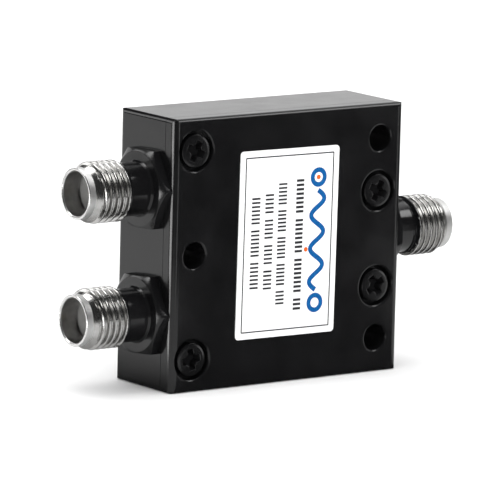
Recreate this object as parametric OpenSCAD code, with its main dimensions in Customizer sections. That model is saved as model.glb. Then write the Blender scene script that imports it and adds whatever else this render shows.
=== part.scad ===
// Radio-frequency power splitter: one input port on the right, two output ports on the left.
// A milled box stands on its narrow edge. A screwed cover plate in front carries the label.
// Inside, a printed circuit divides the signal between the two outputs.
// Sizes are in millimetres. X runs from the outputs to the input, Y from the cover to the
// back, and Z up. The origin is under the middle of the box, on the ground.

/* [Box] */
// Width between the two connector walls
body_w = 29; // [28:0.5:40]
// Thickness from the front of the cover to the back
body_t = 10; // [9.8:0.1:14]
// Height
body_h = 28.2; // [28:0.1:40]
// Radius of the edges around the top, the bottom and the two faces
edge_r = 0.45; // [0.2:0.05:0.8]
// Radius of the four upright edges
upright_r = 0.8; // [0.5:0.1:1.5]
// Thickness of the cover plate
cover_t = 1.8; // [1.7:0.1:2.4]
// Hairline groove where the cover meets the box
seam = 0.06; // [0.04:0.02:0.2]
// Wall between a connector and the cavity
side_wall = 5; // [4.6:0.1:5.4]
// Wall above and below the cavity
end_wall = 3; // [2:0.1:4]
// Corner radius of the milled cavity
cavity_r = 1.5; // [1:0.25:2.5]

/* [Mounting holes] */
// Diameter of the through holes
mount_d = 2.7; // [2.2:0.1:3.2]
// Distance of the right pair from the right wall
mount_right_in = 3; // [2.6:0.1:3.4]
// Distance between the right pair
mount_spread = 21; // [20:0.5:22]
// Distance of the left hole from the left wall
mount_left_in = 2.7; // [2.4:0.1:3.2]
// Edge break of the holes and counterbores
edge_break = 0.12; // [0.05:0.01:0.2]

/* [Cover screws] */
// Shank diameter
screw_d = 2; // [1.6:0.1:2.2]
// Length under the head
screw_l = 4.5; // [3.5:0.25:5]
// Head diameter
screw_head_d = 3.4; // [3:0.1:3.6]
// Head height
screw_head_h = 1.05; // [0.9:0.05:1.1]
// Height of the head's crown
screw_crown = 0.3; // [0.1:0.05:0.4]
// Counterbore diameter
cbore_d = 4.2; // [3.8:0.1:4.4]
// Counterbore depth
cbore_h = 1.1; // [1:0.05:1.2]
// Distance of the left pair from the left wall
screw_left_in = 2.65; // [2.4:0.05:3.2]
// Distance between the left pair
screw_left_spread = 21.5; // [21:0.25:22]
// Distance of the right pair from the right wall
screw_right_in = 3.1; // [2.6:0.1:3.4]
// Distance between the right pair
screw_right_spread = 10; // [9:0.25:11]
// Width of a cross recess's arm
recess_w = 0.6; // [0.3:0.05:0.7]
// Length of a cross recess's arm, end to end
recess_l = 2.4; // [1.4:0.1:2.6]
// Depth of the cross recess
recess_h = 0.7; // [0.4:0.05:0.8]

/* [Label] */
// Width
label_w = 12.5; // [8:0.1:14]
// Height
label_h = 19.5; // [10:0.1:20]
// Thickness
label_t = 0.1; // [0.05:0.05:0.2]
// Corner radius
label_r = 0.4; // [0.2:0.1:1]
// Height of the middle above the box's middle
label_up = 0.5; // [-1:0.1:1]
// Distance of the middle from the box's middle, to the right
label_over = -0.2; // [-1:0.1:1]
// Turn of the label as it was stuck on, in degrees
label_turn = -0.5; // [-2:0.1:2]

/* [Connectors] */
// Distance between the two output ports
port_spread = 13; // [12:0.25:14]
// Hexagon across its flats
hex_af = 8; // [7:0.1:8.2]
// Hexagon height off the wall
hex_h = 1.1; // [0.9:0.1:2]
// Radius where the hexagon's chamfer starts
hex_face_r = 3.85; // [3.5:0.05:4]
// Turn of the upper output's hexagon, in degrees
hex_turn_a = 2; // [-30:1:30]
// Turn of the lower output's hexagon, in degrees
hex_turn_b = 4; // [-30:1:30]
// Turn of the input's hexagon, in degrees
hex_turn_in = 14; // [-30:1:30]
// Neck diameter
neck_d = 5.5; // [5.3:0.05:5.8]
// Neck length
neck_l = 2.4; // [1.5:0.1:4]
// Slope at the neck's foot
neck_foot = 0.2; // [0.1:0.05:0.3]
// Length of the slope behind the thread
lead_l = 0.4; // [0.2:0.05:0.8]
// Outer diameter of the coupling thread
thread_d = 6.35; // [6.2:0.05:6.5]
// Length of the coupling thread
thread_l = 3.2; // [2:0.1:5]
// Length of the slope in front of the thread
slope_l = 0.85; // [0.4:0.05:1.2]
// Nose diameter
nose_d = 5.3; // [5.2:0.05:5.5]
// Nose length
nose_l = 0.75; // [0.4:0.05:1.2]
// Diameter of the socket that takes the plug's sleeve
socket_d = 4.6; // [4.5:0.05:4.7]
// Depth of the socket
socket_h = 2; // [1.8:0.1:2.2]
// Diameter of the stub that screws into the wall
stub_d = 5.2; // [4.6:0.1:5.6]
// How far the drill for the stub runs past the wall
port_over = 0.3; // [0.1:0.05:0.5]
// Diameter of the insulator in front of its shoulder
insulator_d = 4.1; // [3.8:0.05:4.2]
// Diameter of the insulator inside the wall
insulator_rear_d = 3.5; // [3:0.1:3.7]
// Diameter of the contact's socket end
contact_d = 1.27; // [1.2:0.01:1.4]
// Diameter of the contact's hole
contact_hole_d = 0.94; // [0.9:0.01:1]
// Depth of the contact's hole
contact_hole_h = 2.6; // [2:0.1:3]
// Width of the slots that let the contact spring
contact_slot = 0.16; // [0.1:0.01:0.2]
// Distance of the contact behind the insulator's face
contact_sunk = 0.1; // [0.05:0.05:0.2]
// Length of the contact's socket end
contact_front_l = 4.6; // [3.5:0.1:5]
// Diameter of the contact's pin
pin_d = 0.9; // [0.7:0.05:1]
// Length of the pin's tab inside the cavity
tab_l = 1.5; // [1.2:0.1:2]
// Height of the pin's axis over the circuit
tab_drop = 0.25; // [0.15:0.01:0.35]

/* [Circuit] */
// Thickness of the circuit's conductor
trace_t = 0.1; // [0.05:0.05:0.15]
// Thickness of the board
board_t = 0.5; // [0.25:0.05:0.8]
// Thickness of the ground foil under the board
ground_t = 0.1; // [0.05:0.05:0.15]
// Conductor width at the ports
line_w = 1.1; // [1:0.05:1.3]
// Conductor width in the section next to the input
ring_w_1 = 0.4; // [0.3:0.05:0.5]
// Conductor width in the middle section
ring_w_2 = 0.55; // [0.3:0.05:0.6]
// Conductor width in the section next to the outputs
ring_w_3 = 0.7; // [0.3:0.05:0.8]
// Height of each section's loop
ring_h = 7; // [5:0.25:8]
// Space between two loops
ring_gap = 0.6; // [0.4:0.05:0.8]
// Straight line in front of the first loop
input_lead = 2.6; // [2.2:0.1:3]
// Straight line behind the last loop
output_lead = 3.4; // [3.2:0.1:4]
// Space between the two arms, bridged by a resistor
arm_gap = 0.6; // [0.4:0.05:0.8]
// Height of the pads beside that space
pad_h = 0.8; // [0.7:0.05:1]
// Length of a resistor
resistor_l = 1.6; // [1.4:0.1:1.8]
// Width of a resistor
resistor_w = 0.8; // [0.6:0.05:1]
// Height of a resistor
resistor_h = 0.45; // [0.3:0.05:0.6]
// Length of a resistor's metal ends
resistor_end = 0.3; // [0.2:0.05:0.4]
// How far the metal ends stand proud
resistor_proud = 0.03; // [0.02:0.01:0.05]
// Length of a solder wedge
solder_l = 0.5; // [0.3:0.05:0.6]
// Height of a solder wedge
solder_h = 0.4; // [0.2:0.05:0.5]
// Width of a solder wedge
solder_w = 0.7; // [0.5:0.05:0.8]

/* [Board screws] */
// Shank diameter
board_screw_d = 1.6; // [1.4:0.1:1.8]
// Length under the head
board_screw_l = 3; // [2.5:0.25:3.5]
// Head diameter
board_head_d = 2.8; // [2.6:0.1:3]
// Head height
board_head_h = 0.9; // [0.7:0.05:1.2]
// Distance of the screws from the cavity's upper and lower wall
board_screw_in = 2; // [1.8:0.1:2.4]
// Place of the left pair along the board
board_screw_left = -2.5; // [-3:0.1:-2]
// Place of the right pair along the board
board_screw_right = 5; // [4:0.1:5.5]

/* [Fits] */
// Space around a threaded shank in its hole
thread_fit = 0.05; // [0.02:0.01:0.1]
// Space around a pressed piece
press_fit = 0.02; // [0.01:0.01:0.04]
// Space around the board in the cavity
board_fit = 0.1; // [0.05:0.05:0.2]
// Space behind the end of a screw or stub
end_fit = 0.2; // [0.1:0.05:0.4]

/* [Hidden] */
$fn = 48;
eps = 0.01;
front_y = -body_t / 2;
back_y = body_t / 2;
seat_y = front_y + cover_t;
mid_z = body_h / 2;
trace_y = tab_drop;
board_y = trace_y + trace_t;
ground_y = board_y + board_t;
floor_y = ground_y + ground_t;
cavity_w = body_w - 2 * side_wall;
cavity_h = body_h - 2 * end_wall;
mount_right_x = body_w / 2 - mount_right_in;
mount_left_x = -body_w / 2 + mount_left_in;
screw_left_x = -body_w / 2 + screw_left_in;
screw_right_x = body_w / 2 - screw_right_in;
neck_z = hex_h + neck_l;
start_z = neck_z + lead_l;
thread_z = start_z + thread_l;
nose_z = thread_z + slope_l;
mouth_z = nose_z + nose_l;
socket_z = mouth_z - socket_h;
stub_l = side_wall - end_fit;
contact_z = socket_z - contact_sunk;
step_z = contact_z - contact_front_l;
section_w = (cavity_w - input_lead - output_lead) / 3;
ring_w = section_w - ring_gap;
ring_x = cavity_w / 2 - input_lead - section_w / 2;
out_x = ring_x - 2.5 * section_w - line_w / 2 - 0.15;
board_screw_z = cavity_h / 2 - board_screw_in;

// Piece to draw

// Rectangle with round corners, centred
module round_rect(w, h, r) {
    square([w - 2 * r, h], center = true);
    square([w, h - 2 * r], center = true);
    for (sx = [-1, 1], sy = [-1, 1])
        translate([sx * (w / 2 - r), sy * (h / 2 - r)])
            circle(r);
}

// Flat piece drawn as seen from the front, from y going back by t
module plate(y, t) {
    translate([0, y + t, mid_z])
        rotate([90, 0, 0])
            linear_extrude(t)
                children();
}

// Round hole or shank along Y, from y going back by l
module rod(x, z, y, d, l) {
    translate([x, y, mid_z + z])
        rotate([-90, 0, 0])
            cylinder(d = d, h = l);
}

// Small cone that breaks the edge of a hole in the front or back face
module break_front(x, z, d) {
    translate([x, front_y - eps, mid_z + z])
        rotate([-90, 0, 0])
            cylinder(d1 = d + 2 * edge_break + 2 * eps, d2 = d, h = edge_break + eps);
}

module break_back(x, z, d) {
    translate([x, back_y + eps, mid_z + z])
        rotate([90, 0, 0])
            cylinder(d1 = d + 2 * edge_break + 2 * eps, d2 = d, h = edge_break + eps);
}

// Whole outer form of box and cover, with every edge rounded
module block() {
    intersection() {
        plate(front_y, body_t)
            round_rect(body_w, body_h, edge_r);
        translate([0, 0, mid_z])
            rotate([90, 0, 90])
                linear_extrude(body_w, center = true)
                    round_rect(body_t, body_h, edge_r);
        linear_extrude(body_h)
            round_rect(body_w, body_t, upright_r);
    }
}

// Puts a connector piece, drawn along Z with the wall at zero, onto its port
module at_port(side, z) {
    translate([side * body_w / 2, 0, mid_z + z])
        rotate([0, side * 90, 0])
            children();
}

module at_ports() {
    at_port(-1, port_spread / 2)
        children();
    at_port(-1, -port_spread / 2)
        children();
    at_port(1, 0)
        children();
}

module mount_holes(y, l) {
    for (s = [-1, 1])
        rod(mount_right_x, s * mount_spread / 2, y, mount_d, l);
    rod(mount_left_x, 0, y, mount_d, l);
}

module cover_screw_places() {
    for (s = [-1, 1]) {
        translate([screw_left_x, 0, mid_z + s * screw_left_spread / 2])
            rotate([-90, 0, 0])
                children();
        translate([screw_right_x, 0, mid_z + s * screw_right_spread / 2])
            rotate([-90, 0, 0])
                children();
    }
}

module board_screw_places() {
    for (x = [board_screw_left, board_screw_right], s = [-1, 1])
        translate([x, 0, mid_z + s * board_screw_z])
            rotate([-90, 0, 0])
                children();
}

module housing() {
    color("#1b1b1d")
        difference() {
            block();
            translate([-body_w, front_y - 1, -1])
                cube([2 * body_w, cover_t + 1, body_h + 2]);
            plate(seat_y - eps, floor_y - seat_y + eps)
                round_rect(cavity_w, cavity_h, cavity_r);
            at_ports()
                translate([0, 0, -side_wall - port_over])
                    cylinder(d = stub_d + 2 * thread_fit, h = side_wall + port_over + 1);
            mount_holes(seat_y - 1, body_t);
            for (s = [-1, 1])
                break_back(mount_right_x, s * mount_spread / 2, mount_d);
            break_back(mount_left_x, 0, mount_d);
            cover_screw_places()
                translate([0, 0, seat_y - 1])
                    cylinder(d = screw_d + 2 * thread_fit, h = screw_l - cover_t + cbore_h + end_fit + 1);
            board_screw_places()
                translate([0, 0, floor_y - eps])
                    cylinder(d = board_screw_d + 2 * thread_fit,
                             h = board_screw_l - board_t - ground_t + end_fit + eps);
        }
}

module cover_plate() {
    color("#1b1b1d")
        difference() {
            block();
            translate([-body_w, seat_y, -1])
                cube([2 * body_w, body_t, body_h + 2]);
            plate(seat_y - seam, 2 * seam)
                difference() {
                    square([2 * body_w, 2 * body_h], center = true);
                    square([body_w - 2 * seam, body_h - 2 * seam], center = true);
                }
            mount_holes(front_y - 1, body_t);
            for (s = [-1, 1]) {
                break_front(mount_right_x, s * mount_spread / 2, mount_d);
                break_front(screw_left_x, s * screw_left_spread / 2, cbore_d);
                break_front(screw_right_x, s * screw_right_spread / 2, cbore_d);
            }
            break_front(mount_left_x, 0, mount_d);
            cover_screw_places() {
                translate([0, 0, front_y - 1])
                    cylinder(d = cbore_d, h = cbore_h + 1);
                translate([0, 0, front_y])
                    cylinder(d = screw_d + 2 * thread_fit, h = body_t);
            }
        }
}

// Screw with its seat at zero and its head towards minus Z
module crossed_screw(d, l, head_d, head_h, crown, arm_l, arm_w, arm_h) {
    crown_r = (head_d * head_d / 4 + crown * crown) / (2 * crown);
    cylinder(d = d, h = l);
    difference() {
        intersection() {
            translate([0, 0, -head_h])
                cylinder(d = head_d, h = head_h);
            translate([0, 0, crown_r - head_h])
                sphere(crown_r, $fn = 96);
        }
        for (a = [0, 90])
            rotate([0, 0, a])
                translate([-arm_l / 2, -arm_w / 2, -head_h - 1])
                    cube([arm_l, arm_w, arm_h + 1]);
    }
}

module cover_screws() {
    color("#26262a")
        cover_screw_places()
            translate([0, 0, front_y + cbore_h])
                rotate([0, 0, 20])
                    crossed_screw(screw_d, screw_l, screw_head_d, screw_head_h,
                                  screw_crown, recess_l, recess_w, recess_h);
}

module label() {
    color("#f1f1ef")
        plate(front_y - label_t, label_t)
            translate([label_over, label_up])
                rotate(label_turn)
                    round_rect(label_w, label_h, label_r);
}

// Turned steel shell: stub in the wall, hexagon, neck, thread between two slopes, and nose
module connector_shell(turn) {
    color("#c9c9c6")
        difference() {
            union() {
                translate([0, 0, -stub_l])
                    cylinder(d = stub_d, h = stub_l + hex_h);
                intersection() {
                    rotate([0, 0, 30 + turn])
                        cylinder(d = hex_af / cos(30), h = hex_h, $fn = 6);
                    cylinder(r1 = hex_face_r + hex_h / tan(30), r2 = hex_face_r, h = hex_h);
                }
                cylinder(d = neck_d, h = neck_z);
                translate([0, 0, hex_h])
                    cylinder(d1 = neck_d + 2 * neck_foot, d2 = neck_d, h = neck_foot);
                translate([0, 0, neck_z])
                    cylinder(d1 = neck_d, d2 = thread_d, h = lead_l);
                translate([0, 0, start_z])
                    cylinder(d = thread_d, h = thread_l);
                translate([0, 0, thread_z])
                    cylinder(d1 = thread_d, d2 = nose_d, h = slope_l);
                translate([0, 0, nose_z])
                    cylinder(d = nose_d, h = nose_l);
            }
            translate([0, 0, socket_z])
                cylinder(d = socket_d, h = socket_h + 1);
            translate([0, 0, mouth_z - edge_break])
                cylinder(d1 = socket_d, d2 = socket_d + 2 * edge_break + 2 * eps, h = edge_break + eps);
            cylinder(d = insulator_d + 2 * press_fit, h = mouth_z);
            translate([0, 0, -stub_l - 1])
                cylinder(d = insulator_rear_d + 2 * press_fit, h = stub_l + 2);
        }
}

module connector_insulator() {
    color("#f4f3ee")
        difference() {
            union() {
                cylinder(d = insulator_d, h = socket_z);
                translate([0, 0, -stub_l])
                    cylinder(d = insulator_rear_d, h = stub_l + eps);
            }
            translate([0, 0, -stub_l - 1])
                cylinder(d = pin_d + 2 * press_fit, h = stub_l + socket_z + 2);
            translate([0, 0, step_z])
                cylinder(d = contact_d + 2 * press_fit, h = socket_z);
        }
}

// Gold contact: slotted socket in front, round pin behind, flat tab on the circuit
module connector_contact() {
    color("#d3a548")
        difference() {
            union() {
                translate([0, 0, step_z])
                    cylinder(d = contact_d, h = contact_front_l);
                translate([0, 0, -stub_l - tab_l])
                    cylinder(d = pin_d, h = stub_l + tab_l + step_z + eps);
            }
            translate([0, 0, contact_z - contact_hole_h])
                cylinder(d = contact_hole_d, h = contact_hole_h + 1);
            for (a = [45, 135])
                rotate([0, 0, a])
                    translate([-contact_d, -contact_slot / 2, contact_z - contact_hole_h * 0.8])
                        cube([2 * contact_d, contact_slot, contact_hole_h]);
            translate([-pin_d, tab_drop, -stub_l - tab_l - 1])
                cube([2 * pin_d, pin_d, tab_l + 1]);
        }
}

module output_a_shell() {
    at_port(-1, port_spread / 2)
        connector_shell(hex_turn_a);
}

module output_a_insulator() {
    at_port(-1, port_spread / 2)
        connector_insulator();
}

module output_a_contact() {
    at_port(-1, port_spread / 2)
        connector_contact();
}

module output_b_shell() {
    at_port(-1, -port_spread / 2)
        connector_shell(hex_turn_b);
}

module output_b_insulator() {
    at_port(-1, -port_spread / 2)
        connector_insulator();
}

module output_b_contact() {
    at_port(-1, -port_spread / 2)
        connector_contact();
}

module input_shell() {
    at_port(1, 0)
        connector_shell(hex_turn_in);
}

module input_insulator() {
    at_port(1, 0)
        connector_insulator();
}

module input_contact() {
    at_port(1, 0)
        connector_contact();
}

// Outline shared by the board and its ground foil, with holes for the screws
module board_outline() {
    difference() {
        round_rect(cavity_w - 2 * board_fit, cavity_h - 2 * board_fit, cavity_r);
        for (x = [board_screw_left, board_screw_right], s = [-1, 1])
            translate([x, s * board_screw_z])
                circle(d = board_screw_d + 4 * thread_fit);
    }
}

module circuit_board() {
    color("#d9cfb4")
        plate(board_y, board_t)
            board_outline();
}

module ground_foil() {
    color("#b87333")
        plate(ground_y, ground_t)
            board_outline();
}

module stadium(w, h) {
    square([w, h - w], center = true);
    for (s = [-1, 1])
        translate([0, s * (h - w) / 2])
            circle(d = w);
}

// One loop of the divider, cut open where its two arms part
module ring(k, w, joined) {
    translate([ring_x - k * section_w, 0])
        difference() {
            stadium(ring_w, ring_h);
            stadium(ring_w - 2 * w, ring_h - 2 * w);
            translate([-ring_w / 2, 0])
                square([ring_w, arm_gap], center = true);
            if (!joined)
                translate([ring_w / 2, 0])
                    square([ring_w, arm_gap], center = true);
        }
}

// The two pads under a resistor, between loop k and the next
module pads(k, left, right) {
    for (s = [-1, 1])
        translate([ring_x - (k + 0.5) * section_w - left, s * (arm_gap + pad_h) / 2 - pad_h / 2])
            square([left + right, pad_h]);
}

module circuit_trace() {
    color("#c9b27a")
        plate(trace_y, trace_t) {
            translate([ring_x + ring_w / 2 - ring_w_1 / 2, -line_w / 2])
                square([cavity_w / 2 - 2 * board_fit - ring_x - ring_w / 2 + ring_w_1 / 2, line_w]);
            ring(0, ring_w_1, true);
            ring(1, ring_w_2, false);
            ring(2, ring_w_3, false);
            pads(0, ring_gap / 2 + ring_w_2 / 2, ring_gap / 2 + ring_w_1 / 2);
            pads(1, ring_gap / 2 + ring_w_3 / 2, ring_gap / 2 + ring_w_2 / 2);
            pads(2, line_w, ring_gap / 2 + ring_w_3 / 2);
            for (s = [-1, 1]) {
                translate([out_x - line_w / 2, s > 0 ? arm_gap / 2 : -port_spread / 2 - line_w / 2])
                    square([line_w, (port_spread + line_w - arm_gap) / 2]);
                translate([-cavity_w / 2 + 2 * board_fit, s * port_spread / 2 - line_w / 2])
                    square([out_x + cavity_w / 2 - 2 * board_fit, line_w]);
            }
        }
}

// Chip resistor across the two arms, behind loop k
module resistor(k) {
    x = ring_x - (k + 0.5) * section_w;
    color("#3b3f45") {
        plate(trace_y - resistor_h, resistor_h - resistor_proud)
            translate([x, 0])
                square([resistor_w - 2 * resistor_proud, resistor_l - 2 * resistor_proud], center = true);
        for (s = [-1, 1])
            plate(trace_y - resistor_h - resistor_proud, resistor_h + resistor_proud)
                translate([x, s * (resistor_l - resistor_end) / 2])
                    square([resistor_w, resistor_end], center = true);
    }
}

module resistor_first() {
    resistor(0);
}

module resistor_middle() {
    resistor(1);
}

module resistor_last() {
    resistor(2);
}

// Wedge of solder between each contact's tab and the circuit
module solder_joints() {
    color("#aeb2b5")
        at_ports()
            translate([solder_w / 2, trace_y, -stub_l - tab_l])
                rotate([0, -90, 0])
                    linear_extrude(solder_w)
                        polygon([[0, 0], [-solder_l, 0], [0, -solder_h]]);
}

module board_screws() {
    color("#b9bbbd")
        board_screw_places()
            translate([0, 0, board_y])
                crossed_screw(board_screw_d, board_screw_l, board_head_d, board_head_h,
                              screw_crown, board_head_d * 0.55, recess_w * 0.8, recess_h * 0.7);
}

housing();
cover_plate();
cover_screws();
label();
output_a_shell();
output_a_insulator();
output_a_contact();
output_b_shell();
output_b_insulator();
output_b_contact();
input_shell();
input_insulator();
input_contact();
circuit_board();
circuit_trace();
ground_foil();
resistor_first();
resistor_middle();
resistor_last();
solder_joints();
board_screws();
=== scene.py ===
"""Looks of a radio-frequency power splitter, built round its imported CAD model, in metres."""
import math

import bpy
import numpy as np
from mathutils import Matrix, Vector


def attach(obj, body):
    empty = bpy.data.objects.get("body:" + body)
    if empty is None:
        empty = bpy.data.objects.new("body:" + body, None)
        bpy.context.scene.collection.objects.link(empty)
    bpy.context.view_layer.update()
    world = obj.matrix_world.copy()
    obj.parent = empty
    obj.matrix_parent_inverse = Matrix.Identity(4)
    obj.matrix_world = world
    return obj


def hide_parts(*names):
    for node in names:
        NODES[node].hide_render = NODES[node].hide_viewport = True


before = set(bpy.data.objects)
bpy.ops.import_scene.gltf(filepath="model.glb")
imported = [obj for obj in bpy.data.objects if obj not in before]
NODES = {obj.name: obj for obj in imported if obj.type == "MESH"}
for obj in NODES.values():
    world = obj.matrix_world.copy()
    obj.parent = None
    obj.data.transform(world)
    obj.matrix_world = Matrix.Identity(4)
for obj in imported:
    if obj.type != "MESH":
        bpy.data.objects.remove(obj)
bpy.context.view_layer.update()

MM = 0.001

# The box, as in the CAD model (millimetres)
HALF_W, HALF_T, HEIGHT = 14.5, 5.0, 28.2
MID_Z = HEIGHT / 2
FRONT_Y = -HALF_T

# Helpers of the turned meshes
HOLD = 0.04  # length of the support strips that keep straight parts from shading as curved
STEP = 0.01  # space between one run of points and the next

# The jacks, as distances out from the wall and radii
STUB_R, STUB_L = 2.6, 4.8
HEX_APOTHEM, HEX_H, HEX_FACE_R, HEX_CORNER_R, HEX_CHAMFER_DEG = 4.0, 1.1, 3.85, 0.22, 30
NECK_R, NECK_FOOT, NECK_END = 2.75, 0.2, 3.5
THREAD_R, THREAD_START, THREAD_END = 3.175, 3.9, 7.1
THREAD_PITCH, THREAD_DEPTH = 0.7056, 0.4
THREAD_CREST, THREAD_FLANK = 0.09, 0.29  # half the crest's width and a flank's, as shares of the pitch
THREAD_RUN_OUT, THREAD_FADE = 0.75, 0.3  # length of the groove past the thread, and of its shallow end
NOSE_R, NOSE_START, MOUTH = 2.65, 7.95, 8.7
SOCKET_R, SOCKET_END, SOCKET_LEAD = 2.3, 6.7, 0.12
BORE_R, REAR_BORE_R = 2.07, 1.77
HEX_BACK_EDGE, HEX_EDGE, FOOT_EDGE, RIM_R, LEAD_EDGE = 0.04, 0.07, 0.05, 0.07, 0.03  # roundings
JACK_COLUMNS, THREAD_ROWS, JACK_SHARP_DEG = 192, 122, 50
JACKS = {  # name: (CAD node, side, height of the axis, turn of the hexagon)
    "output_a_jack": ("output_a_shell", -1, MID_Z + 6.5, 2.0),
    "output_b_jack": ("output_b_shell", -1, MID_Z - 6.5, 4.0),
    "input_jack": ("input_shell", 1, MID_Z, 14.0),
}

# The cover's screws, as heights over their seat and radii
SCREW_SEAT_Y, SCREW_HEAD_R, SCREW_HEAD_H, SCREW_CROWN = -3.9, 1.7, 1.05, 0.03
SCREW_BEVEL, SCREW_BEVEL_DEG = 0.28, 8.0
SCREW_BEVEL_R = SCREW_HEAD_R - SCREW_BEVEL
SCREW_RIM, SCREW_SEAT_EDGE = 0.08, 0.04  # roundings of the head
SCREW_SHANK_R, SCREW_L, SCREW_TIP, SCREW_TIP_R = 1.0, 4.5, 0.2, 0.05
RECESS = 0.36, 1.1, 0.68  # half an arm's width, its reach and the core's radius, at the top
RECESS_TAPER = 0.8, 0.7, 0.8  # the shares of these that are left at the floor
RECESS_LOW = tuple(size * share for size, share in zip(RECESS, RECESS_TAPER))
RECESS_DEPTH = 0.9
RECESS_FLOOR_H = SCREW_HEAD_H - RECESS_DEPTH
RECESS_DIP, RECESS_DIP_SHARE, RECESS_DIP_R = 0.06, 0.55, 0.04  # the floor's dip: depth, reach, inmost ring
RECESS_RISE, RECESS_WALL = 0.05, 0.06  # over the floor: its border and the wall's foot
RECESS_EDGE, RECESS_LIP = 0.07, 0.3  # rounding at the top, and the length of head that it turns into
SCREW_COLUMNS, CROWN_ROWS, SCREW_ARC_STEPS, SCREW_SHARP_DEG = 288, 8, 5, 45
SCREWS = {  # name: (x, z, turn of the cross)
    "cover_screw_top_left": (-11.85, MID_Z + 10.75, 65.0),
    "cover_screw_low_left": (-11.85, MID_Z - 10.75, 10.0),
    "cover_screw_top_right": (11.4, MID_Z + 5.0, 63.0),
    "cover_screw_low_right": (11.4, MID_Z - 5.0, 32.0),
}

# The label and its print, with the print's places measured from the label's middle
LABEL_X, LABEL_Z, LABEL_W, LABEL_H, LABEL_TURN = -0.2, MID_Z + 0.5, 12.5, 19.5, -0.5
LABEL_T, INK_H, INK_SHARP_DEG = 0.1, 0.012, 30
LABEL_FACE_Y = FRONT_Y - LABEL_T
BORDER_INSET, BORDER_LINE, BORDER_R, BORDER_INNER_R = 0.65, 0.13, 0.12, 0.05
SIGN_X = 3.7
RING_Z, RING_R, RING_HOLE_R = 6.55, 1.02, 0.52
WAVE_Z, WAVE_SWING, WAVE_TURNS, WAVE_LINE, WAVE_STEPS = 5.2, 0.8, 3, 0.52, 24
DOT_R, DOT_STEPS = 0.24, 24
DOTS = (SIGN_X, RING_Z), (SIGN_X - 1.35, -0.9)
SCALES = (  # x, upper end, lower end, step, length and width of a line, and every which line is left out
    (1.4, 6.8, -7.0, 0.46, 0.95, 0.26, 9),
    (-0.8, 6.5, -6.6, 0.4, 1.05, 0.2, 7),
    (-2.45, 5.5, -5.4, 0.44, 1.05, 0.2, 6),
    (-4.15, 5.2, -4.8, 0.42, 1.05, 0.2, 8),
)
SHARPEST_BEND = 0.4  # keeps the corners of a drawn line short

# Finishes, with noise scales per millimetre and depths in millimetres
NOISE_RANGE = 0.3, 0.7  # where most values of a noise lie
CLOUD_SCALE, PEEL_SCALE, GRIT_SCALE, GRIT_DEPTH = 0.28, 1.7, 16, 0.0003
PAINT_COLOURS = (0.0035, 0.0035, 0.0038), (0.006, 0.006, 0.0064)
PAINT_ROUGH, PAINT_PEEL, PAINT_IOR = (0.15, 0.21), 0.0022, 1.5
# The recess finish is the screw's paint made rougher and less reflective (lower IOR): painted shade inside
# the cross recess.
SCREW_ROUGH, RECESS_SHADE_ROUGH, SCREW_PEEL, RECESS_SHADE_IOR = (0.18, 0.26), (0.5, 0.65), 0.0015, 1.2
FLOW_R, FLOW_DEPTH, FLOW_MARGIN, FLOW_SAMPLES = 0.28, 0.4, 0.9, 8  # paint at the edges of holes
SPRAY_END = HALF_W + 4.05  # where the paint on a jack ends
SPRAY_SCALE, SPRAY_DRIFT, SPRAY_BLUR = 2.5, 0.09, 0.06
TURNING_SCALE, TURNING_STRETCH, TURNING_DEPTH = 9.0, (1.0, 0.02, 0.02), 0.0018
SMUDGE_SCALE = 0.9
THREAD_COLOURS = (0.50, 0.495, 0.48), (0.66, 0.655, 0.645)
NOSE_COLOURS = (0.80, 0.795, 0.785), (0.92, 0.917, 0.91)
THREAD_ROUGH, NOSE_ROUGH, NOSE_BLUR = (0.18, 0.28), (0.5, 0.6), 0.04
METAL_FINER, METAL_GRAIN = 14, 0.001  # how much finer the grain is than the clouds, and its depth
MATT_FINER, MATT_GRAIN, MATT_IOR = 9, 0.002, 1.46
PAPER_SCALE, INK_SCALE, PRINT_GRAIN = 0.6, 3.0, 0.0008

# The stage: the floor in millimetres, the lights in metres
FLOOR_R, FLOOR_CORNERS, FLOOR_Z, CARD_Z = 3000, 64, -0.02, -0.01
FLOOR_ROUGH, FLOOR_SCALE, SHADE_ROUGH, SHADE_SCALE = (0.8, 0.95), 0.02, 0.9, 0.1
CARD_BACK = (-35, -4.5), (16, -4.5), (60, 220), (-240, 220), (-60, 30), (-35, 10)
CARD_LEFT = (-75, -4.6), (-75, -60), (24, -60), (-15.5, -4.6)
CARD_RIGHT = (16.5, -4.6), (55.5, -60), (90, -60), (90, 40), (25.5, 40)
WORLD_LEVEL = 0.035
REFLECTED_DISTANCE = 0.6
REFLECTED_LIGHTS = {  # name: (azimuth, elevation, width, height, radiance)
    "light_back": (62, 2, 1.05, 0.42, 0.97),
    "light_back_high": (30, 42, 0.45, 0.22, 1.0),
    "light_back_left": (122, 20, 0.26, 0.24, 2.0),
    "light_left_low": (169, -10, 0.36, 0.12, 7.5),
    "light_left_high": (147, 42, 0.15, 0.26, 5.0),
    "light_over_left": (105, 66, 0.4, 0.3, 2.5),
    "light_over": (70, 78, 0.5, 0.36, 2.2),
    "light_key": (-25, 46, 0.23, 0.22, 5.0),
    "light_right": (-39, 0, 0.12, 0.19, 2.0),
    "light_line": (256, -10, 0.12, 0.2, 2.0),
}
MATT_LIGHTS = {  # name: (azimuth, elevation, distance, width, height, radiance)
    "light_front": (262, 6, 0.8, 0.7, 0.5, 6.3),
    "light_left": (185, 32, 0.8, 0.5, 0.4, 1.5),
    "light_floor": (0, 89, 1.2, 2.0, 2.0, 3.0),
}

# The camera, fitted to the photo's view of the box
VIEW_AZ, VIEW_EL, VIEW_ROLL = -35.98, 9.68, 1.44
VIEW_DIST, VIEW_FOCAL_PX, PICTURE_PX, SENSOR_MM = 581.7, 5626.0, 480.0, 36.0
CENTRE_PX, TARGET_Z = (259.9, 239.1), 14.14
CLIP_START, CLIP_END = 0.05, 20.0


# Materials

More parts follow.
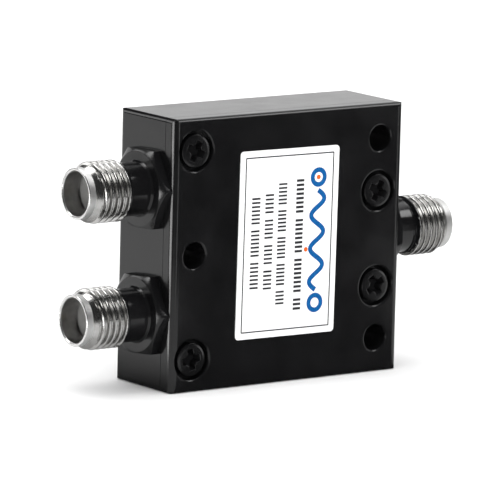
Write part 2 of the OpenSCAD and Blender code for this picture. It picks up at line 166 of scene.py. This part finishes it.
def add(tree, kind, settings=None, **sockets):
    """Adds a shader node. A keyword names an input (i0, i1 ... by number) and gives a value or a link."""
    node = tree.nodes.new("ShaderNode" + kind)
    for key, value in (settings or {}).items():
        setattr(node, key, value)
    for key, value in sockets.items():
        numbered = key[0] == "i" and key[1:].isdigit()
        socket = node.inputs[int(key[1:])] if numbered else node.inputs[key.replace("_", " ")]
        if isinstance(value, bpy.types.NodeSocket):
            tree.links.new(value, socket)
        else:
            socket.default_value = value
    return node


def new_material(name):
    """An empty material with one shader, and the place on the object in millimetres."""
    material = bpy.data.materials.new(name)
    material.use_nodes = True
    tree = material.node_tree
    tree.nodes.clear()
    output = add(tree, "OutputMaterial")
    shader = add(tree, "BsdfPrincipled")
    tree.links.new(shader.outputs["BSDF"], output.inputs["Surface"])
    place = add(tree, "TexCoord").outputs["Object"]
    place = add(tree, "Mapping", Vector=place, Scale=(1 / MM, 1 / MM, 1 / MM)).outputs["Vector"]
    return material, tree, shader, place


def feed(tree, shader, colour, rough, normal):
    """Links a colour, a roughness and a normal to a shader."""
    tree.links.new(colour, shader.inputs["Base Color"])
    tree.links.new(rough, shader.inputs["Roughness"])
    tree.links.new(normal, shader.inputs["Normal"])


def noise(tree, place, scale, detail, stretch=None):
    """A noise, drawn out along the axes whose stretch is small."""
    if stretch:
        place = add(tree, "Mapping", Vector=place, Scale=stretch).outputs["Vector"]
    return add(tree, "TexNoise", Vector=place, Scale=scale, Detail=detail).outputs["Fac"]


def calc(tree, operation, first, second=None):
    """A number worked out from one or two others."""
    others = {} if second is None else {"i1": second}
    return add(tree, "Math", {"operation": operation}, i0=first, **others).outputs["Value"]


def spread(tree, value, low, high, to_low, to_high):
    """A number carried from one range to another."""
    return add(tree, "MapRange", Value=value, From_Min=low, From_Max=high,
               To_Min=to_low, To_Max=to_high).outputs["Result"]


def vary(tree, value, low, high):
    """A number between two, by a noise."""
    return spread(tree, value, *NOISE_RANGE, low, high)


def tint(tree, value, low, high, at=NOISE_RANGE):
    """A colour between two, by a value."""
    ramp = add(tree, "ValToRGB", Fac=value)
    for stop, place, colour in zip(ramp.color_ramp.elements, at, (low, high)):
        stop.position = place
        stop.color = (*colour, 1)
    return ramp.outputs["Color"]


def bump(tree, height, depth_mm, normal=None):
    """Normals of a relief of that depth, on top of other normals where given."""
    links = {"Normal": normal} if normal else {}
    return add(tree, "Bump", Height=height, Strength=1.0, Distance=depth_mm * MM, **links).outputs["Normal"]


def mix_colours(tree, factor, low, high):
    """Mixes two colours by a factor."""
    return add(tree, "Mix", {"data_type": "RGBA"}, i0=factor, i6=low, i7=high).outputs[2]


def mix_numbers(tree, factor, low, high):
    """Mixes two numbers by a factor."""
    return add(tree, "Mix", {"data_type": "FLOAT"}, i0=factor, i2=low, i3=high).outputs[0]


def grey(level):
    """A colour of no hue."""
    return (level, level, level)


def hole_flow(tree, place):
    """Normals of paint that flows round the edges of holes in the front, and the plain normal elsewhere."""
    parts = add(tree, "SeparateXYZ", Vector=place).outputs
    near = calc(tree, "LESS_THAN", parts["Y"], FRONT_Y + FLOW_DEPTH)
    inner = calc(tree, "LESS_THAN", calc(tree, "ABSOLUTE", parts["X"]), HALF_W - FLOW_MARGIN)
    where = calc(tree, "MULTIPLY", near, inner)
    plain = add(tree, "NewGeometry").outputs["Normal"]
    flow = add(tree, "Bevel", {"samples": FLOW_SAMPLES}, Radius=FLOW_R * MM).outputs["Normal"]
    return add(tree, "Mix", {"data_type": "VECTOR"}, i0=where, i4=plain, i5=flow).outputs[1]


def black_paint(name, rough, peel, flows=False, ior=PAINT_IOR):
    """Semi-gloss black paint with a faint orange peel. On request it flows round the edges of holes."""
    material, tree, shader, place = new_material(name)
    cloud = noise(tree, place, CLOUD_SCALE, 4)
    orange_peel = noise(tree, place, PEEL_SCALE, 2)
    grit = noise(tree, place, GRIT_SCALE, 2)
    normal = hole_flow(tree, place) if flows else None
    normal = bump(tree, orange_peel, peel, normal)
    normal = bump(tree, grit, GRIT_DEPTH, normal)
    feed(tree, shader, tint(tree, cloud, *PAINT_COLOURS), vary(tree, cloud, *rough), normal)
    shader.inputs["IOR"].default_value = ior
    return material


def jack_finish():
    """Bare turned steel beyond the neck, black paint on the neck and hexagon, with a sprayed border."""
    material, tree, shader, place = new_material("jack_finish")
    cloud = noise(tree, place, CLOUD_SCALE, 4)
    orange_peel = noise(tree, place, PEEL_SCALE, 2)
    smudge = noise(tree, place, SMUDGE_SCALE, 3)
    turning = noise(tree, place, TURNING_SCALE, 2, TURNING_STRETCH)
    out = calc(tree, "ABSOLUTE", add(tree, "SeparateXYZ", Vector=place).outputs["X"])
    nose_x = HALF_W + NOSE_START
    nose = spread(tree, out, nose_x - NOSE_BLUR, nose_x + NOSE_BLUR, 0, 1)
    behind_rim = calc(tree, "LESS_THAN", out, HALF_W + MOUTH - RIM_R)
    soft_nose = calc(tree, "MULTIPLY", nose, behind_rim)
    drift = vary(tree, noise(tree, place, SPRAY_SCALE, 4), -SPRAY_DRIFT, SPRAY_DRIFT)
    bare = add(tree, "MapRange", {"interpolation_type": "SMOOTHSTEP"}, Value=calc(tree, "ADD", out, drift),
               From_Min=SPRAY_END - SPRAY_BLUR, From_Max=SPRAY_END + SPRAY_BLUR).outputs["Result"]
    thread_steel = tint(tree, smudge, *THREAD_COLOURS)
    nose_steel = tint(tree, smudge, *NOSE_COLOURS)
    steel = mix_colours(tree, nose, thread_steel, nose_steel)
    colour = mix_colours(tree, bare, tint(tree, cloud, *PAINT_COLOURS), steel)
    thread_rough = vary(tree, turning, *THREAD_ROUGH)
    nose_rough = vary(tree, turning, *NOSE_ROUGH)
    steel_rough = mix_numbers(tree, soft_nose, thread_rough, nose_rough)
    rough = mix_numbers(tree, bare, vary(tree, cloud, *PAINT_ROUGH), steel_rough)
    relief = mix_numbers(tree, bare, orange_peel, turning)
    feed(tree, shader, colour, rough, bump(tree, relief, TURNING_DEPTH))
    tree.links.new(bare, shader.inputs["Metallic"])
    shader.inputs["IOR"].default_value = PAINT_IOR
    return material


def metal(name, low, high, rough, scale=1.2):
    """Bare or plated metal with faint clouds and a fine grain."""
    material, tree, shader, place = new_material(name)
    cloud = noise(tree, place, scale, 4)
    fine = noise(tree, place, scale * METAL_FINER, 2)
    feed(tree, shader, tint(tree, cloud, low, high), vary(tree, cloud, *rough), bump(tree, fine, METAL_GRAIN))
    shader.inputs["Metallic"].default_value = 1.0
    return material


def matt(name, low, high, rough, scale, grain=MATT_GRAIN):
    """Plastic, laminate, ceramic, paper, ink or floor, with faint clouds and a fine grain."""
    material, tree, shader, place = new_material(name)
    cloud = noise(tree, place, scale, 4)
    fine = noise(tree, place, scale * MATT_FINER, 3)
    feed(tree, shader, tint(tree, cloud, low, high), vary(tree, fine, *rough), bump(tree, fine, grain))
    shader.inputs["IOR"].default_value = MATT_IOR
    return material


def printing_ink(name, low, high, rough):
    """Ink on the label."""
    return matt(name, low, high, rough, INK_SCALE, PRINT_GRAIN)


def shaded_floor(name, dark_x, dark, light_x, light):
    """Floor whose colour grows darker towards the box: painted shade where the box shades the floor near it.
    """
    material, tree, shader, place = new_material(name)
    x = add(tree, "SeparateXYZ", Vector=place).outputs["X"]
    x = calc(tree, "ADD", x, noise(tree, place, SHADE_SCALE, 3))
    colour = tint(tree, spread(tree, x, dark_x, light_x, 0, 1), dark, light, (0, 1))
    tree.links.new(colour, shader.inputs["Base Color"])
    shader.inputs["Roughness"].default_value = SHADE_ROUGH
    return material


def give(material, *names):
    """Gives CAD nodes a finish."""
    for name in names:
        mesh = NODES[name].data
        mesh.materials.clear()
        mesh.materials.append(material)


# Meshes

def make_piece(name, verts_mm, faces, material, sharp_deg):
    """A mesh piece in the row frame, smooth but for its sharp edges."""
    mesh = bpy.data.meshes.new(name)
    mesh.from_pydata((np.asarray(verts_mm, float) * MM).tolist(), [], faces)
    mesh.validate()
    mesh.shade_smooth()
    mesh.set_sharp_from_angle(angle=math.radians(sharp_deg))
    mesh.materials.append(material)
    piece = bpy.data.objects.new(name, mesh)
    bpy.context.scene.collection.objects.link(piece)
    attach(piece, "root")
    return piece


def grid_faces(rows, columns, closed_rows=False):
    """Quads of a grid that closes round its columns, and round its rows on request."""
    faces = []
    for i in range(rows if closed_rows else rows - 1):
        a, b = i * columns, ((i + 1) % rows) * columns
        for j in range(columns):
            k = (j + 1) % columns
            faces.append((a + j, a + k, b + k, b + j))
    return faces


def rounded(corners, steps=4):
    """A path through corners (x, y, radius), with an arc of steps + 1 points for each radius."""
    points = [np.array(corner[:2], float) for corner in corners]
    path = [tuple(points[0])]
    for p, q, r, corner in zip(points, points[1:], points[2:], corners[1:]):
        radius = corner[2]
        if radius == 0:
            path.append(tuple(q))
            continue
        u, w = (p - q) / np.linalg.norm(p - q), (r - q) / np.linalg.norm(r - q)
        half = math.acos(max(-1.0, min(1.0, float(u @ w)))) / 2
        cut = radius / math.tan(half)
        centre = q + (u + w) / np.linalg.norm(u + w) * radius / math.sin(half)
        start, end = q + u * cut - centre, q + w * cut - centre
        sweep = math.pi - 2 * half
        for s in range(steps + 1):
            t = s / steps
            arm = (math.sin((1 - t) * sweep) * start + math.sin(t * sweep) * end) / math.sin(sweep)
            path.append(tuple(centre + arm))
    path.append(tuple(points[-1]))
    return path


# The jacks

def hexagon_radius(angle):
    """Distance from the axis to a hexagon with round corners, with a flat at angle zero."""
    half_side = math.pi / 6
    a = (angle + half_side) % (2 * half_side) - half_side
    centre = (HEX_APOTHEM - HEX_CORNER_R) / math.cos(half_side)
    if HEX_APOTHEM * math.tan(abs(a)) <= centre * math.sin(half_side):
        return HEX_APOTHEM / math.cos(a)
    b = half_side - abs(a)
    return centre * math.cos(b) + math.sqrt(HEX_CORNER_R ** 2 - (centre * math.sin(b)) ** 2)


def thread_radius(d, angle):
    """Radius of the coupling thread at a distance from the wall, round the axis."""
    turn = d / THREAD_PITCH - angle / (2 * math.pi)
    from_crest = abs(turn - round(turn))
    cut = min(1.0, max(0.0, (from_crest - THREAD_CREST) / THREAD_FLANK))
    cut = cut * cut * (3 - 2 * cut) * 0.5 + cut * 0.5
    fade = min(1.0, max(0.0, (THREAD_END + THREAD_RUN_OUT - d) / THREAD_FADE))
    grooved = THREAD_R - THREAD_DEPTH * cut * fade
    lead = NECK_R + (THREAD_R - NECK_R) * (d - NECK_END) / (THREAD_START - NECK_END)
    slope = THREAD_R - (THREAD_R - NOSE_R) * (d - THREAD_END) / (NOSE_START - THREAD_END)
    return min(grooved, lead, slope)


def jack_outside(angle, hex_r):
    """Section of a jack from the stub's end to a little way into the socket: (distance, radius) points."""
    chamfer = HEX_H - (hex_r - HEX_FACE_R) * math.tan(math.radians(HEX_CHAMFER_DEG))
    path = rounded([
        (-STUB_L, STUB_R, 0),
        (0, STUB_R, 0),
        (0, hex_r, HEX_BACK_EDGE),
        (chamfer, hex_r, HEX_EDGE),
        (HEX_H, HEX_FACE_R, HEX_EDGE),
        (HEX_H, NECK_R + NECK_FOOT, FOOT_EDGE),
        (HEX_H + NECK_FOOT, NECK_R, FOOT_EDGE),
        (NECK_END - HOLD, NECK_R, 0),
        (NECK_END, NECK_R, 0),
    ])
    path += [(d, thread_radius(d, angle)) for d in np.linspace(NECK_END + STEP, NOSE_START, THREAD_ROWS)]
    path += rounded([
        (NOSE_START + STEP, NOSE_R, 0),
        (NOSE_START + HOLD, NOSE_R, 0),
        (MOUTH, NOSE_R, RIM_R),
        (MOUTH, SOCKET_R + SOCKET_LEAD, LEAD_EDGE),
        (MOUTH - SOCKET_LEAD, SOCKET_R, 0),
        (MOUTH - SOCKET_LEAD - HOLD, SOCKET_R, 0),
    ])
    return path


def jack(name, node, side, axis_z, turn, outside, inside):
    """A turned jack: stub, hexagon, neck, cut thread, slope, nose and socket, as one closed skin."""
    bore = [(SOCKET_END, SOCKET_R), (SOCKET_END, BORE_R), (0, BORE_R),
            (0, REAR_BORE_R), (-STUB_L, REAR_BORE_R)]
    columns = []
    for j in range(JACK_COLUMNS):
        angle = 2 * math.pi * j / JACK_COLUMNS
        path = jack_outside(angle, hexagon_radius(angle - math.radians(turn)))
        first_inside = len(path) - 2
        across, up = math.sin(angle), -side * math.cos(angle)
        columns.append([(side * (HALF_W + d), r * across, axis_z + r * up) for d, r in path + bore])
    verts = np.array(columns).transpose(1, 0, 2)
    faces = grid_faces(len(verts), JACK_COLUMNS, closed_rows=True)
    piece = make_piece(name, verts.reshape(-1, 3), faces, outside, JACK_SHARP_DEG)
    piece.data.materials.append(inside)
    for face in piece.data.polygons:
        face.material_index = int(min(face.vertices) >= first_inside * JACK_COLUMNS)
    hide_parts(node)


# The cover's screws

def cross_radius(angle, half_w, half_l, core):
    """Distance from the centre to the edge of a cross recess whose inner corners are cut round."""
    a = abs((angle + math.pi / 4) % (math.pi / 2) - math.pi / 4)
    return max(core, min(half_w / max(math.sin(a), 1e-6), half_l / math.cos(a)))


def crown(r):
    """A point on top of a screw's head: radius and height."""
    bevel = max(0.0, r - SCREW_BEVEL_R) * math.tan(math.radians(SCREW_BEVEL_DEG))
    return r, SCREW_HEAD_H - SCREW_CROWN * (r / SCREW_HEAD_R) ** 2 - bevel


def recess_floor(angle):
    """Section of a recess's floor, which dips towards the middle: (radius, height) points."""
    low = cross_radius(angle, *RECESS_LOW)
    return [(RECESS_DIP_R, RECESS_FLOOR_H - RECESS_DIP), (low * RECESS_DIP_SHARE, RECESS_FLOOR_H),
            (low, RECESS_FLOOR_H + RECESS_RISE)]


def screw_outside(angle):
    """Section of a screw from the recess's upper edge to the shank's end: (radius, height) points."""
    top, low = cross_radius(angle, *RECESS), cross_radius(angle, *RECESS_LOW)
    path = rounded([
        (low, RECESS_FLOOR_H + RECESS_WALL, 0),
        (top, crown(top)[1] - STEP, RECESS_EDGE),
        (*crown(top + RECESS_LIP), 0),
    ], SCREW_ARC_STEPS)[1:-1]
    crown_radii = np.linspace(top + (RECESS_EDGE + STEP), SCREW_BEVEL_R - HOLD, CROWN_ROWS)
    path += [crown(r) for r in crown_radii]
    path.append(crown(SCREW_BEVEL_R))
    path += rounded([
        (*crown(SCREW_BEVEL_R + HOLD), 0),
        (*crown(SCREW_HEAD_R), SCREW_RIM),
        (SCREW_HEAD_R, 0.0, SCREW_SEAT_EDGE),
        (SCREW_SHANK_R, 0.0, 0),
        (SCREW_SHANK_R, -SCREW_L + SCREW_TIP, 0),
        (SCREW_SHANK_R - SCREW_TIP, -SCREW_L, 0),
    ], SCREW_ARC_STEPS)
    path.append((SCREW_TIP_R, -SCREW_L))
    return path


def cover_screw(name, x, z, turn, material, recess_shade_material):
    """A pan-head screw with a nearly flat head, a bevelled rim, a tapered cross recess and a shank."""
    columns = []
    for j in range(SCREW_COLUMNS):
        angle = 2 * math.pi * j / SCREW_COLUMNS
        floor = recess_floor(angle)
        recess_rows = len(floor) + 1
        a = angle + math.radians(turn)
        columns.append([(x + r * math.cos(a), SCREW_SEAT_Y - h, z + r * math.sin(a))
                        for r, h in floor + screw_outside(angle)])
    verts = np.array(columns).transpose(1, 0, 2)
    rows = len(verts)
    faces = grid_faces(rows, SCREW_COLUMNS)
    faces.append(tuple(range(SCREW_COLUMNS))[::-1])
    faces.append(tuple(range((rows - 1) * SCREW_COLUMNS, rows * SCREW_COLUMNS)))
    piece = make_piece(name, verts.reshape(-1, 3), faces, material, SCREW_SHARP_DEG)
    # The recess faces take the dimmer copy of the paint: painted shade inside the recess.
    piece.data.materials.append(recess_shade_material)
    for face in piece.data.polygons:
        face.material_index = int(max(face.vertices) < recess_rows * SCREW_COLUMNS)
    return piece


# The label's print: flat inked shapes, drawn as seen from the front

def ink(name, outlines, material):
    """Thin solids of ink on the label, one per outline: (outer points, inner points or None)."""
    verts, faces = [], []
    along, across = math.cos(math.radians(LABEL_TURN)), math.sin(math.radians(LABEL_TURN))
    for outer, inner in outlines:
        loops = [outer] if inner is None else [outer, inner]
        base = len(verts)
        n = len(outer)
        for loop in loops:
            for y in (LABEL_FACE_Y, LABEL_FACE_Y - INK_H):
                verts += [(LABEL_X + u * along - w * across, y, LABEL_Z + u * across + w * along)
                          for u, w in loop]
        o0, o1, i0, i1 = (base + n * loop for loop in range(4))
        if inner is None:
            faces.append(tuple(range(o1, o1 + n)))
            faces.append(tuple(range(o0, o0 + n))[::-1])
        for i in range(n):
            k = (i + 1) % n
            faces.append((o0 + i, o0 + k, o1 + k, o1 + i))
            if inner is not None:
                faces.append((i0 + k, i0 + i, i1 + i, i1 + k))
                faces.append((o1 + i, o1 + k, i1 + k, i1 + i))
                faces.append((o0 + k, o0 + i, i0 + i, i0 + k))
    make_piece(name, verts, faces, material, INK_SHARP_DEG)


def round_frame(w, h, r, steps=8):
    """Points of a rectangle with round corners, centred, going round from the right."""
    points = []
    for cx, cz, start in ((1, 1, 0), (-1, 1, 90), (-1, -1, 180), (1, -1, 270)):
        for s in range(steps + 1):
            a = math.radians(start + 90 * s / steps)
            points.append((cx * (w / 2 - r) + r * math.cos(a), cz * (h / 2 - r) + r * math.sin(a)))
    return points


def circle(u, w, r, steps=48):
    """Points of a circle."""
    angles = [2 * math.pi * i / steps for i in range(steps)]
    return [(u + r * math.cos(a), w + r * math.sin(a)) for a in angles]


def stroke(points, width):
    """Outline of a line of that width along points, with square ends."""
    p = np.array(points, float)
    left, right = [], []
    for i in range(len(p)):
        back = p[i] - p[i - 1] if i else p[1] - p[0]
        ahead = p[i + 1] - p[i] if i < len(p) - 1 else back
        back, ahead = back / np.linalg.norm(back), ahead / np.linalg.norm(ahead)
        along = (back + ahead) / np.linalg.norm(back + ahead)
        across = np.array([-along[1], along[0]]) * width / 2 / max(SHARPEST_BEND, float(along @ ahead))
        left.append(tuple(p[i] + across))
        right.append(tuple(p[i] - across))
    return right + left[::-1]


def wave(x, z0, z1, swing, turns, width):
    """Outline of a wavy line that runs down from z0 to z1."""
    shares = np.linspace(0, 1, WAVE_STEPS * turns + 1)
    points = [(x + swing * math.sin(2 * math.pi * turns * t), z0 + (z1 - z0) * t) for t in shares]
    return stroke(points, width)


def ticks(x, z0, z1, step, length, width, skip):
    """Outlines of a row of short lines, like a scale, with every so many left out."""
    count = int(abs(z1 - z0) / step)
    places = [z0 - step * i for i in range(count + 1) if i % skip]
    return [(stroke([(x - length / 2, z), (x + length / 2, z)], width), None) for z in places]


def build_label():
    """White label with a thin border, a blue wave between two rings, two orange dots and dark scales."""
    give(matt("label", grey(0.80), grey(0.85), (0.3, 0.42), PAPER_SCALE, PRINT_GRAIN), "label")
    dark_ink = printing_ink("ink_dark", (0.012, 0.012, 0.014), (0.026, 0.026, 0.03), (0.3, 0.45))
    blue_ink = printing_ink("ink_blue", (0.001, 0.07, 0.24), (0.002, 0.10, 0.31), (0.2, 0.3))
    orange_ink = printing_ink("ink_orange", (0.56, 0.075, 0.006), (0.66, 0.11, 0.01), (0.2, 0.3))
    w, h = LABEL_W - 2 * BORDER_INSET, LABEL_H - 2 * BORDER_INSET
    inner = round_frame(w - 2 * BORDER_LINE, h - 2 * BORDER_LINE, BORDER_INNER_R)
    ink("label_border", [(round_frame(w, h, BORDER_R), inner)], dark_ink)
    sign = [(circle(SIGN_X, z, RING_R), circle(SIGN_X, z, RING_HOLE_R)) for z in (RING_Z, -RING_Z)]
    sign.append((wave(SIGN_X, WAVE_Z, -WAVE_Z, WAVE_SWING, WAVE_TURNS, WAVE_LINE), None))
    ink("label_sign", sign, blue_ink)
    ink("label_dots", [(circle(x, z, DOT_R, DOT_STEPS), None) for x, z in DOTS], orange_ink)
    ink("label_scales", [tick for scale in SCALES for tick in ticks(*scale)], dark_ink)


# Stage

def softbox(name, azimuth, elevation, distance, width, height, radiance, for_matt=False):
    """A soft light that looks at the middle of the box, for reflections or for matt surfaces.

    Azimuth is from +X to +Y."""
    light = bpy.data.lights.new(name, "AREA")
    light.shape = "RECTANGLE"
    light.size, light.size_y = width, height
    light.energy = radiance * math.pi * width * height
    lamp = bpy.data.objects.new(name, light)
    bpy.context.scene.collection.objects.link(lamp)
    a, e = math.radians(azimuth), math.radians(elevation)
    away = Vector((math.cos(a) * math.cos(e), math.sin(a) * math.cos(e), math.sin(e)))
    lamp.location = Vector((0, 0, MID_Z * MM)) + away * distance
    lamp.rotation_mode = "QUATERNION"
    lamp.rotation_quaternion = away.to_track_quat("Z", "Y")
    lamp.visible_camera = False
    lamp.visible_glossy = not for_matt
    lamp.visible_diffuse = for_matt


def floor_piece(name, outline, z, material):
    """A flat piece of the stage."""
    mesh = bpy.data.meshes.new(name)
    mesh.from_pydata([(x * MM, y * MM, z * MM) for x, y in outline], [], [tuple(range(len(outline)))])
    mesh.materials.append(material)
    piece = bpy.data.objects.new(name, mesh)
    bpy.context.scene.collection.objects.link(piece)
    return piece


def floor_card(name, outline, material):
    """A part of the floor that only reflections show."""
    card = floor_piece(name, outline, CARD_Z, material)
    card.visible_camera = card.visible_diffuse = card.visible_shadow = False


def build_stage():
    """A white floor that reflections don't show, cards that only they show, a dim world and the lights."""
    scene = bpy.context.scene
    scene.view_settings.view_transform = "Standard"
    scene.view_settings.look = "None"
    white = matt("floor_white", grey(0.86), grey(0.9), FLOOR_ROUGH, FLOOR_SCALE)
    # The card behind the box darkens towards its wall: painted shade of the box on the floor.
    painted_shade_floor = shaded_floor("floor_painted_shade", -HALF_W, grey(0.12), -2 * HALF_W, grey(0.64))
    middle_grey = matt("floor_grey", grey(0.48), grey(0.52), FLOOR_ROUGH, FLOOR_SCALE)
    floor = floor_piece("floor", circle(0, 0, FLOOR_R, FLOOR_CORNERS), FLOOR_Z, white)
    floor.visible_glossy = False
    floor_card("floor_card_back", CARD_BACK, painted_shade_floor)
    floor_card("floor_card_left", CARD_LEFT, middle_grey)
    floor_card("floor_card_right", CARD_RIGHT, middle_grey)
    world = bpy.data.worlds.new("studio")
    scene.world = world
    world.use_nodes = True
    world.node_tree.nodes["Background"].inputs["Color"].default_value = (*grey(WORLD_LEVEL), 1)
    for name, (azimuth, elevation, width, height, radiance) in REFLECTED_LIGHTS.items():
        softbox(name, azimuth, elevation, REFLECTED_DISTANCE, width, height, radiance)
    for name, facts in MATT_LIGHTS.items():
        softbox(name, *facts, for_matt=True)


def build_camera():
    """A camera that sees the box as the photo does."""
    a, e, r = (math.radians(v) for v in (VIEW_AZ, VIEW_EL, VIEW_ROLL))
    back = Vector((math.sin(a) * math.cos(e), -math.cos(a) * math.cos(e), math.sin(e)))
    level = Vector((0, 0, 1)).cross(back).normalized()
    steep = back.cross(level)
    right = math.cos(r) * level + math.sin(r) * steep
    up = -math.sin(r) * level + math.cos(r) * steep
    per_px = VIEW_DIST / VIEW_FOCAL_PX
    eye = Vector((0, 0, TARGET_Z)) + back * VIEW_DIST
    eye -= right * (CENTRE_PX[0] - PICTURE_PX / 2) * per_px
    eye += up * (CENTRE_PX[1] - PICTURE_PX / 2) * per_px
    data = bpy.data.cameras.new("camera")
    data.sensor_width = SENSOR_MM
    data.lens = SENSOR_MM * VIEW_FOCAL_PX / PICTURE_PX
    data.clip_start, data.clip_end = CLIP_START, CLIP_END
    camera = bpy.data.objects.new("camera", data)
    bpy.context.scene.collection.objects.link(camera)
    turn = Matrix((right, up, back)).transposed().to_4x4()
    camera.matrix_world = Matrix.Translation(eye * MM) @ turn
    bpy.context.scene.camera = camera


# The object

def build_outside():
    """Painted box and cover, jacks, and cover screws."""
    give(black_paint("black_paint", PAINT_ROUGH, PAINT_PEEL), "housing")
    give(black_paint("cover_paint", PAINT_ROUGH, PAINT_PEEL, flows=True), "cover_plate")
    steel = jack_finish()
    # The socket's bore is the same steel as the outside, given a darker colour: painted shade inside the
    # socket.
    bore = metal("jack_bore_painted_shade", (0.36, 0.355, 0.35), (0.50, 0.495, 0.485), (0.3, 0.45))
    for name, facts in JACKS.items():
        jack(name, *facts, steel, bore)
    screw_paint = black_paint("screw_black", SCREW_ROUGH, SCREW_PEEL)
    # A dimmer copy of the screw's paint: painted shade inside the cross recess.
    recess_shade_paint = black_paint("screw_recess_painted_shade", RECESS_SHADE_ROUGH, SCREW_PEEL, ior=RECESS_SHADE_IOR)
    screws = [cover_screw(name, *place, screw_paint, recess_shade_paint) for name, place in SCREWS.items()]
    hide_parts("cover_screws")


def finish_inside():
    """Insulators, contacts and the circuit, which keep the CAD model's shapes."""
    ports = ("output_a", "output_b", "input")
    # The insulators are white, but get a grey colour here: painted shade inside the sockets.
    insulator = matt("insulator", (0.30, 0.297, 0.286), (0.36, 0.357, 0.346), (0.4, 0.55), 0.8)
    gold = metal("gold", (0.78, 0.56, 0.22), (0.92, 0.71, 0.33), (0.16, 0.3))
    resistor = matt("resistor", (0.018, 0.018, 0.02), (0.04, 0.04, 0.042), (0.35, 0.5), 2.0)
    give(insulator, *(port + "_insulator" for port in ports))
    give(gold, *(port + "_contact" for port in ports))
    give(resistor, "resistor_first", "resistor_middle", "resistor_last")
    give(matt("laminate", (0.52, 0.47, 0.34), (0.62, 0.57, 0.43), (0.5, 0.65), 3.0), "circuit_board")
    give(metal("trace", (0.72, 0.70, 0.66), (0.84, 0.82, 0.78), (0.25, 0.4)), "circuit_trace")
    give(metal("copper", (0.72, 0.36, 0.22), (0.84, 0.47, 0.31), (0.25, 0.42)), "ground_foil")
    give(metal("solder", (0.58, 0.58, 0.57), (0.74, 0.74, 0.73), (0.2, 0.36), 2.5), "solder_joints")
    give(metal("plated_screw", (0.55, 0.54, 0.5), (0.7, 0.69, 0.65), (0.22, 0.36)), "board_screws")


build_camera()
build_stage()
build_outside()
finish_inside()
build_label()
